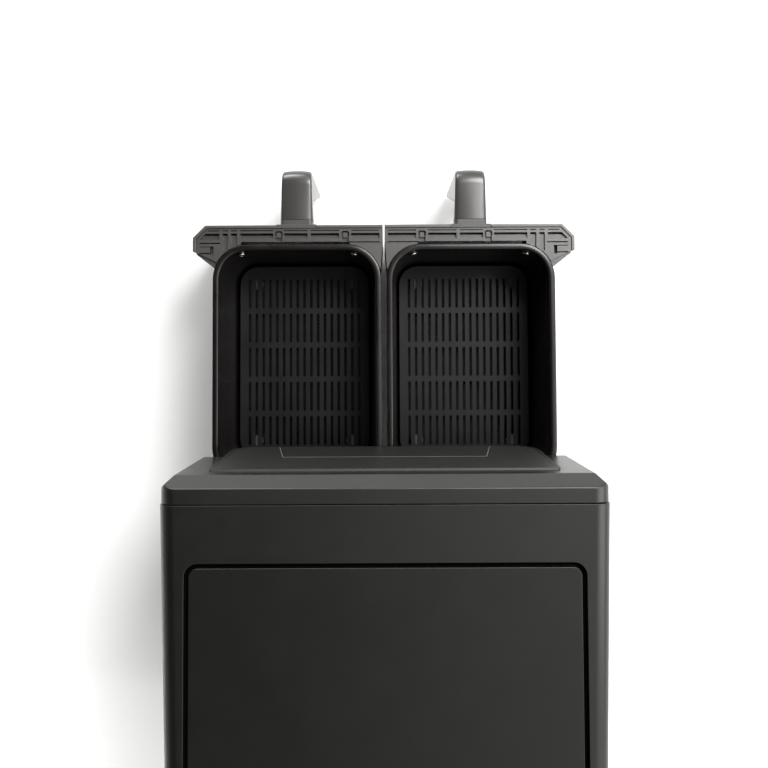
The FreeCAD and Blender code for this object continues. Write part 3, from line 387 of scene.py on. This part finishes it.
def pan_profile():
    """(inset from the lip's edge, height) from the outer floor, over the lip, and inside."""
    rim, depth = PAN_HIGH.z, PAN_HIGH.z - PAN_LOW.z
    foot = PAN_FOOT_RADIUS

    def lean(z):
        return PAN_DRAFT * (rim - z) / depth

    profile = []
    bottom = rim - depth
    for step in range(7):
        angle = math.pi / 2 * step / 6
        inset = PAN_LIP + lean(bottom + foot) + foot * (1 - math.sin(angle))
        profile.append((inset, bottom + foot * (1 - math.cos(angle))))
    under = rim - 2.0 * MM
    for part in (0.33, 0.66, 0.97):
        z = bottom + foot + (under - bottom - foot) * part
        profile.append((PAN_LIP + lean(z), z))
    profile.append((PAN_LIP - 0.8 * MM, under - 0.2 * MM))
    profile.append((1.2 * MM, under))
    for step in range(5):
        angle = math.pi * step / 4
        profile.append((1.0 * MM - 1.0 * MM * math.sin(angle),
                        rim - 1.0 * MM - 1.0 * MM * math.cos(angle)))
    inner = PAN_LIP + PAN_SHEET
    profile.append((inner - 2.2 * MM, rim))
    for step in range(1, 5):
        angle = math.pi / 2 * step / 4
        profile.append((inner - 2.0 * MM + 2.0 * MM * math.sin(angle),
                        rim - 2.0 * MM * (1 - math.cos(angle))))
    floor = bottom + PAN_SHEET
    curve = foot - PAN_SHEET
    for part in (0.25, 0.5, 0.75, 1.0):
        z = rim - 2 * MM - (rim - 2 * MM - floor - curve) * part
        profile.append((inner + lean(z), z))
    for step in range(1, 7):
        angle = math.pi / 2 * step / 6
        profile.append((inner + lean(floor + curve) + curve * (1 - math.cos(angle)),
                        floor + curve * (1 - math.sin(angle))))
    return profile


def pan(side, sign):
    """Pressed pan with a rolled lip and a rounded foot."""
    centre = (PAN_LOW + PAN_HIGH) / 2
    width, length = PAN_HIGH.x - PAN_LOW.x, PAN_HIGH.y - PAN_LOW.y
    work = bmesh.new()
    loops = []
    for inset, z in pan_profile():
        loops.append(rounded_loop(centre.x * sign, centre.y, width - 2 * inset,
                                  length - 2 * inset, PAN_RADIUS - inset, z))
    loft(work, loops)
    bmesh.ops.recalc_face_normals(work, faces=work.faces)
    name = "pan_" + side
    piece = settle(work, name + "_pressed", MATERIALS["pan_coating"], BODY_OF[name], 40)
    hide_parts(name)


# Handles -------------------------------------------------------------------------------

HANDLE_ARM = 19 * MM              # depth of the arm under its top
HANDLE_BEND = 12 * MM             # outer radius of the bend
HANDLE_WEDGE = 41.6 * MM          # from the tip's outer face to where the bend's inside starts
HANDLE_TIP_RADIUS = 4.4 * MM
HANDLE_TIP_INSET = 0.6 * MM       # the outer face leans in by this much at the tip
HANDLE_HALF_BASE = 17.5 * MM
HANDLE_HALF_END = 16.0 * MM
HANDLE_EDGE_RADIUS = 3.0 * MM
HANDLE_CROWN = 1.3 * MM


def handle_stations():
    """Pairs of (outer, inner) points in the side view, from the neck to the tip."""
    lo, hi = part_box("handle_right")
    top, tip = hi.z, lo.z
    neck, out = hi.y, lo.y
    under = top - HANDLE_ARM
    bend = HANDLE_BEND
    stations = []
    for part in (0.0, 0.15, 0.3, 0.45, 0.6, 0.75, 0.9):
        y = neck + (out + bend - neck) * part
        y_in = neck + (out + HANDLE_WEDGE - neck) * part
        stations.append(((y, top), (y_in, under)))
    inner_arc = [(out + 41 * MM, under), (out + 37.0 * MM, under - 1.4 * MM),
                 (out + 35.0 * MM, under - 3.6 * MM), (out + 33.9 * MM, under - 6.0 * MM)]
    for step, inner in enumerate(inner_arc):
        angle = math.pi / 2 * step / 3
        outer = (out + bend - bend * math.sin(angle), top - bend + bend * math.cos(angle))
        stations.append((outer, inner))
    round_tip = HANDLE_TIP_RADIUS
    centre = (out + HANDLE_TIP_INSET + round_tip, tip + round_tip)
    for part in (0.12, 0.3, 0.5, 0.7, 0.87, 1.0):
        z_out = top - bend - (top - bend - centre[1]) * part
        z_in = under - 7 * MM - (under - 7 * MM - centre[1]) * part
        y_in = out + 33.5 * MM + (centre[0] + round_tip - out - 33.5 * MM) * part
        stations.append(((out + HANDLE_TIP_INSET * part, z_out), (y_in, z_in)))
    for turn in (22, 42, 60, 76):
        reach, drop = (round_tip * f(math.radians(turn)) for f in (math.cos, math.sin))
        stations.append(((centre[0] - reach, centre[1] - drop),
                         (centre[0] + reach, centre[1] - drop)))
    return stations


def handle_section(outer, inner, half, radius, crown, centre_x):
    """Rounded bar between an outer and an inner point, arched across its outer side."""
    start = Vector((0, *outer))
    depth = Vector((0, *inner)) - start
    thick = depth.length
    direction = depth.normalized()
    radius = min(radius, thick * 0.45)
    crown = min(crown, thick * 0.2)
    points = []
    for corner, (sx, sy) in enumerate(((1, 1), (-1, 1), (-1, -1), (1, -1))):
        for step in range(6):
            angle = math.pi / 2 * (corner + step / 5)
            x = sx * (half - radius) + radius * math.cos(angle)
            d = (thick - radius if sy > 0 else radius) + radius * math.sin(angle)
            d += crown * (x / half) ** 2 * (1 - d / thick)
            points.append(Vector((centre_x + x, 0, 0)) + start + direction * d)
        if corner == 2:
            for step in range(1, 8):
                x = (half - radius) * (step / 4 - 1)
                d = crown * (x / half) ** 2
                points.append(Vector((centre_x + x, 0, 0)) + start + direction * d)
    return points


def handle(side, sign):
    """Arm, bend and free-hanging wedge in one crowned moulding."""
    centre = (low("handle_right").x + high("handle_right").x) / 2 * sign
    neck, out = high("handle_right").y, low("handle_right").y
    loops = []
    for outer, inner in handle_stations():
        part = (neck - outer[0]) / (neck - out)
        half = HANDLE_HALF_BASE + (HANDLE_HALF_END - HANDLE_HALF_BASE) * min(part, 1.0)
        loops.append(handle_section(outer, inner, half, HANDLE_EDGE_RADIUS, HANDLE_CROWN,
                                    centre))
    work = bmesh.new()
    loft(work, loops)
    bmesh.ops.recalc_face_normals(work, faces=work.faces)
    name = "handle_" + side
    piece = settle(work, name + "_grip", MATERIALS["handle_plastic"], BODY_OF[name], 50)
    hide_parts(name)


# Screws --------------------------------------------------------------------------------

def screw_mesh(radius, height, recess):
    """Domed head with a cross recess, standing on z = 0."""
    work = bmesh.new()
    loops = []
    for inset, z in ((0, 0), (0, height * 0.35), (radius * 0.06, height * 0.62),
                     (radius * 0.22, height * 0.86), (radius * 0.5, height)):
        loops.append([Vector(((radius - inset) * math.cos(math.tau * i / 32),
                              (radius - inset) * math.sin(math.tau * i / 32), z))
                      for i in range(32)])
    rings = loft(work, loops, True, False)
    arm, width = radius * 0.42, radius * 0.11
    cross = []
    for turn in range(4):
        spin = Matrix.Rotation(math.pi / 2 * turn, 3, "Z")
        for point in ((arm, -width, height), (arm, width, height), (width, width, height)):
            cross.append(spin @ Vector(point))
    top = [work.verts.new(point) for point in cross]
    floor = [work.verts.new(Vector((p.x * 0.8, p.y * 0.8, height - recess))) for p in cross]
    count = len(top)
    for index in range(count):
        after = (index + 1) % count
        work.faces.new((top[after], top[index], floor[index], floor[after]))
    work.faces.new(floor)
    edges = [work.edges.get((rings[-1][i], rings[-1][(i + 1) % 32])) for i in range(32)]
    edges += [work.edges.get((top[i], top[(i + 1) % count])) for i in range(count)]
    bmesh.ops.triangle_fill(work, use_beauty=True, use_dissolve=False, edges=edges)
    bmesh.ops.recalc_face_normals(work, faces=work.faces)
    return work


def screws(name, node, places, radius, height, slot):
    """Screw heads at (matrix) places, in one piece that stands for a CAD node."""
    work = bmesh.new()
    for place in places:
        head = screw_mesh(radius, height, height * 0.55)
        head.transform(place)
        mesh = bpy.data.meshes.new("head")
        head.to_mesh(mesh)
        head.free()
        work.from_mesh(mesh)
        bpy.data.meshes.remove(mesh)
    piece = settle(work, name, MATERIALS[slot], BODY_OF[node], 35)
    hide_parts(node)


def islands(node):
    """Boxes of the separate solids in a node."""
    work = bmesh.new()
    work.from_mesh(NODES[node].data)
    bmesh.ops.remove_doubles(work, verts=work.verts, dist=0.01 * MM)
    left, boxes = set(work.verts), []
    while left:
        stack, seen = [left.pop()], []
        while stack:
            vert = stack.pop()
            seen.append(vert.co.copy())
            for edge in vert.link_edges:
                other = edge.other_vert(vert)
                if other in left:
                    left.remove(other)
                    stack.append(other)
        boxes.append((Vector([min(p[i] for p in seen) for i in range(3)]),
                      Vector([max(p[i] for p in seen) for i in range(3)])))
    work.free()
    return sorted(boxes, key=lambda pair: tuple(round(v, 4) for v in pair[0]))


def housing_screws():
    places = []
    for lo, hi in islands("housing_screws"):
        middle = (lo + hi) / 2
        spin = Matrix.Rotation(middle.x * 40 + middle.z * 70, 4, "Z")
        if hi.z - lo.z < 2 * MM:
            turn = Matrix.Rotation(math.pi, 4, "X")
            places.append(Matrix.Translation((middle.x, middle.y, hi.z)) @ turn @ spin)
        else:
            turn = Matrix.Rotation(-math.pi / 2, 4, "X")
            face = hi.y - 0.9 * MM
            places.append(Matrix.Translation((middle.x, face, middle.z)) @ turn @ spin)
    screws("housing_screw_heads", "housing_screws", places, 3.4 * MM, 0.9 * MM,
           "screw_steel")


def pan_screws(side):
    """Heads seated on the pan's inside, where its front corners start to turn."""
    places = []
    node = "pan_screws_" + side
    pan_low, pan_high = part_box("pan_" + side)
    height = (low(node).z + high(node).z) / 2
    lean = PAN_DRAFT * (pan_high.z - height) / (pan_high.z - pan_low.z)
    reach = PAN_RADIUS - PAN_LIP - PAN_SHEET - lean - 0.7 * MM
    upright = Matrix.Rotation(-math.pi / 2, 4, "X")
    for end in (-1, 1):
        x = pan_low.x + PAN_RADIUS if end < 0 else pan_high.x - PAN_RADIUS
        centre = Matrix.Translation((x, pan_low.y + PAN_RADIUS, height))
        turn = Matrix.Rotation(math.radians(PAN_SCREW_TURN * end), 4, "Z")
        spin = Matrix.Rotation(x * 20, 4, "Z")
        places.append(centre @ turn @ Matrix.Translation((0, -reach, 0)) @ upright @ spin)
    screws(node + "_heads", node, places, 4.6 * MM, 1.8 * MM, "pan_screw_steel")


# Painted shade round the cover, painted highlight round the window ----------------------

COVER_RADIUS = 8 * MM
# Painted shade: a near-black strip laid in the cover's groove to darken it.
SHADE_STRIP_SECTION = ((0.3, 0), (0.3, 0.9), (0.7, 1.3), (3.5, 1.3), (3.9, 0.9), (3.9, 0))
SHADE_STRIP_LIFT = 0.02 * MM             # above the groove's floor


def groove_painted_shade():
    """Painted shade: a near-black, matt strip lying in the groove around the cover plate,
    darkening the groove.

    Its section is a list of (distance out from the plate, height), in millimetres.
    """
    plate_low, plate_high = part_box("top_cover")
    centre = (plate_low + plate_high) / 2
    width, length = plate_high.x - plate_low.x, plate_high.y - plate_low.y
    loops = []
    for out, height in SHADE_STRIP_SECTION:
        grow = out * MM
        loops.append(rounded_loop(centre.x, centre.y, width + 2 * grow, length + 2 * grow,
                                  COVER_RADIUS + grow,
                                  plate_low.z + height * MM + SHADE_STRIP_LIFT))
    work = bmesh.new()
    rings = loft(work, loops, False, False)
    bmesh.ops.bridge_loops(work, edges=loop_edges(work, rings[0])
                           + loop_edges(work, rings[-1]))
    bmesh.ops.recalc_face_normals(work, faces=work.faces)
    settle(work, "cover_groove_painted_shade", MATERIALS["groove_painted_shade"], "root")


def loop_edges(work, ring):
    """The edges that run round one ring of a loft."""
    return [work.edges.get((ring[i - 1], ring[i])) for i in range(len(ring))]


WINDOW_TOP_HALF = 102.3 * MM      # half width of the window's opening at its top
WINDOW_GAP = 0.3 * MM             # from the window to the bead's middle
LENS_THICK = 1.2 * MM
BEAD_HALF = 0.32 * MM
BEAD_ROOT = 0.3 * MM              # how far the bead reaches behind the lens's face
BEAD_PROUD = 0.1 * MM             # and in front of it


def lens_face(z):
    """Depth of the panel's slanted face at a height."""
    lens_low, lens_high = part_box("control_lens")
    part = (z - lens_low.z) / (lens_high.z - lens_low.z)
    return lens_low.y + (lens_high.y - LENS_THICK - lens_low.y) * part


def window_painted_highlight():
    """Painted highlight: a thin, light grey bead round the display window, open along its
    bottom, standing for the light caught along the window's edge.
    """
    window_low, window_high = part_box("display_window")
    top, half_low = window_high.z + WINDOW_GAP, window_high.x + WINDOW_GAP
    half_high = WINDOW_TOP_HALF - WINDOW_GAP
    path = [(-half_low, window_low.z), (-half_high, top), (half_high, top),
            (half_low, window_low.z)]
    work = bmesh.new()
    rows = []
    for index, (x, z) in enumerate(path):
        shape = []
        for dx, dz in ((-1, 1), (1, -1)):
            spread_x = BEAD_HALF * dx * (1 if index < 2 else -1)
            spread_z = BEAD_HALF * dz if index in (1, 2) else 0
            shape.append((x + spread_x, z + spread_z))
        row = []
        for (px, pz), depth in ((shape[0], BEAD_ROOT), (shape[0], -BEAD_PROUD),
                                (shape[1], -BEAD_PROUD), (shape[1], BEAD_ROOT)):
            row.append(Vector((px, lens_face(pz) + depth, pz)))
        rows.append(row)
    loft(work, rows)
    bmesh.ops.recalc_face_normals(work, faces=work.faces)
    settle(work, "display_window_painted_highlight", MATERIALS["window_painted_highlight"], "root")


# Dress the frame -----------------------------------------------------------------------

for node, part in NODES.items():
    part.data.materials.clear()
    part.data.materials.append(MATERIALS[SLOT_OF[node]])

# Radius, in millimetres, given to the crisp edges of these mouldings
SOFT_EDGES = {
    "front_bezel": 1.1, "top_cover": 1.0, "housing_shell": 0.5, "control_panel": 0.6,
    "control_lens": 0.25, "display_window": 0.2,
    "cavity_frame": 0.4, "rear_panel": 0.5, "drawer_fascia": 0.5, "drawer_frame": 0.35,
    "handle_collar": 0.3, "crisper_plate": 0.35, "base_plate": 0.5,
}
for node in sorted(NODES):
    if bare(node) in SOFT_EDGES:
        softened(node, SOFT_EDGES[bare(node)] * MM)

for side, sign in SIDES:
    pan(side, sign)
    handle(side, sign)
    pan_screws(side)
housing_screws()
# Painted shade in the cover's groove, and a painted highlight round the display window
groove_painted_shade()
window_painted_highlight()


# Floor, light and camera ---------------------------------------------------------------

def floor():
    size = 6.0
    work = bmesh.new()
    bmesh.ops.create_grid(work, x_segments=1, y_segments=1, size=size)
    mesh = bpy.data.meshes.new("floor")
    work.to_mesh(mesh)
    work.free()
    shader = Shader("floor_paper", (0.93, 0.93, 0.93), 0.85, Specular_IOR_Level=0.1)
    tone = shader.spread(shader.noise(0.8, 2), 0, 1)
    shader.colour(shader.blend(tone, (0.925, 0.925, 0.925), (0.94, 0.94, 0.94)))
    mesh.materials.append(shader.material)
    sheet = bpy.data.objects.new("floor", mesh)
    bpy.context.scene.collection.objects.link(sheet)


def softbox(name, place, aim, width, height, power):
    light = bpy.data.lights.new(name, "AREA")
    light.shape = "RECTANGLE"
    light.size, light.size_y = width, height
    light.energy = power
    lamp = bpy.data.objects.new(name, light)
    lamp.location = place
    lamp.rotation_euler = (Vector(aim) - Vector(place)).to_track_quat("-Z", "Y").to_euler()
    bpy.context.scene.collection.objects.link(lamp)
    return light


def studio():
    """Soft lights at the front corner, front and side, a thin strip, and a wash of light on
    the floor where the housing's own shadow falls."""
    bpy.context.scene.world = tent()
    softbox("key", (-0.75, -1.05, 2.1), (0, -0.1, 0.2), 0.9, 0.9, 46)
    softbox("front", (0.7, -2.0, 1.0), (0, 0, 0.2), 1.2, 0.6, 31)
    softbox("side", (-1.9, 0.3, 1.6), (0, 0, 0.2), 0.8, 1.8, 18)
    softbox("strip", (0.0, -1.55, 1.5), (0, 0, 0.3), 1.8, 0.15, 4)
    floor_wash = softbox("floor_wash", (0.85, 0.05, 1.5), (0.85, 0.05, 0), 0.4, 1.3, 2.2)
    floor_wash.spread = math.radians(36)
    bpy.context.scene.view_settings.view_transform = "Standard"


def tent():
    """A ceiling that darkens across the room, over walls that are pale all round."""
    world = bpy.data.worlds.new("studio")
    world.use_nodes = True
    tree = world.node_tree
    back = tree.nodes["Background"]
    place = tree.nodes.new("ShaderNodeTexCoord")
    split = tree.nodes.new("ShaderNodeSeparateXYZ")
    tree.links.new(place.outputs["Generated"], split.inputs[0])
    side = ranged(tree, split.outputs["X"], (-0.32, 0.16), (1.45, 0.02))
    walls = ranged(tree, split.outputs["Z"], (0.24, 0.42), (0.62, 0.0))
    brighter = tree.nodes.new("ShaderNodeMath")
    brighter.operation = "MAXIMUM"
    tree.links.new(side, brighter.inputs[0])
    tree.links.new(walls, brighter.inputs[1])
    tree.links.new(brighter.outputs[0], back.inputs["Strength"])
    back.inputs["Color"].default_value = (1, 1, 0.965, 1)
    return world


def ranged(tree, value, source, target):
    node = tree.nodes.new("ShaderNodeMapRange")
    node.interpolation_type = "SMOOTHSTEP"
    tree.links.new(value, node.inputs["Value"])
    for name, number in zip(("From Min", "From Max", "To Min", "To Max"), source + target):
        node.inputs[name].default_value = number
    return node.outputs["Result"]


LENS_LENGTH = 46.27               # in mm, on a sensor 36 mm wide
EYE_HEIGHT = 1.2228
EYE_AHEAD = 0.1083                # in front of the upper front's face
EYE_TILT = 2.70                   # degrees, leaning towards the front
EYE_ROLL = -0.28


def camera():
    """Nearly straight above the open drawers, front of the machine at the picture's top."""
    data = bpy.data.cameras.new("view")
    data.sensor_width = 36
    data.lens = LENS_LENGTH
    data.shift_y = -0.10
    data.clip_start, data.clip_end = 0.05, 30
    eye = bpy.data.objects.new("view", data)
    tilt, roll = math.radians(EYE_TILT), math.radians(EYE_ROLL)
    eye.location = (0.0, BEZEL_FACE_Y - EYE_AHEAD, EYE_HEIGHT)
    forward = Vector((0, -math.sin(tilt), -math.cos(tilt)))
    right = Vector((-1, 0, 0))
    up = right.cross(forward)
    turn = Matrix((right, up, -forward)).transposed().to_4x4()
    eye.matrix_world = (Matrix.Translation(eye.location) @ turn
                        @ Matrix.Rotation(roll, 4, "Z"))
    bpy.context.scene.collection.objects.link(eye)
    bpy.context.scene.camera = eye


floor()
studio()
camera()
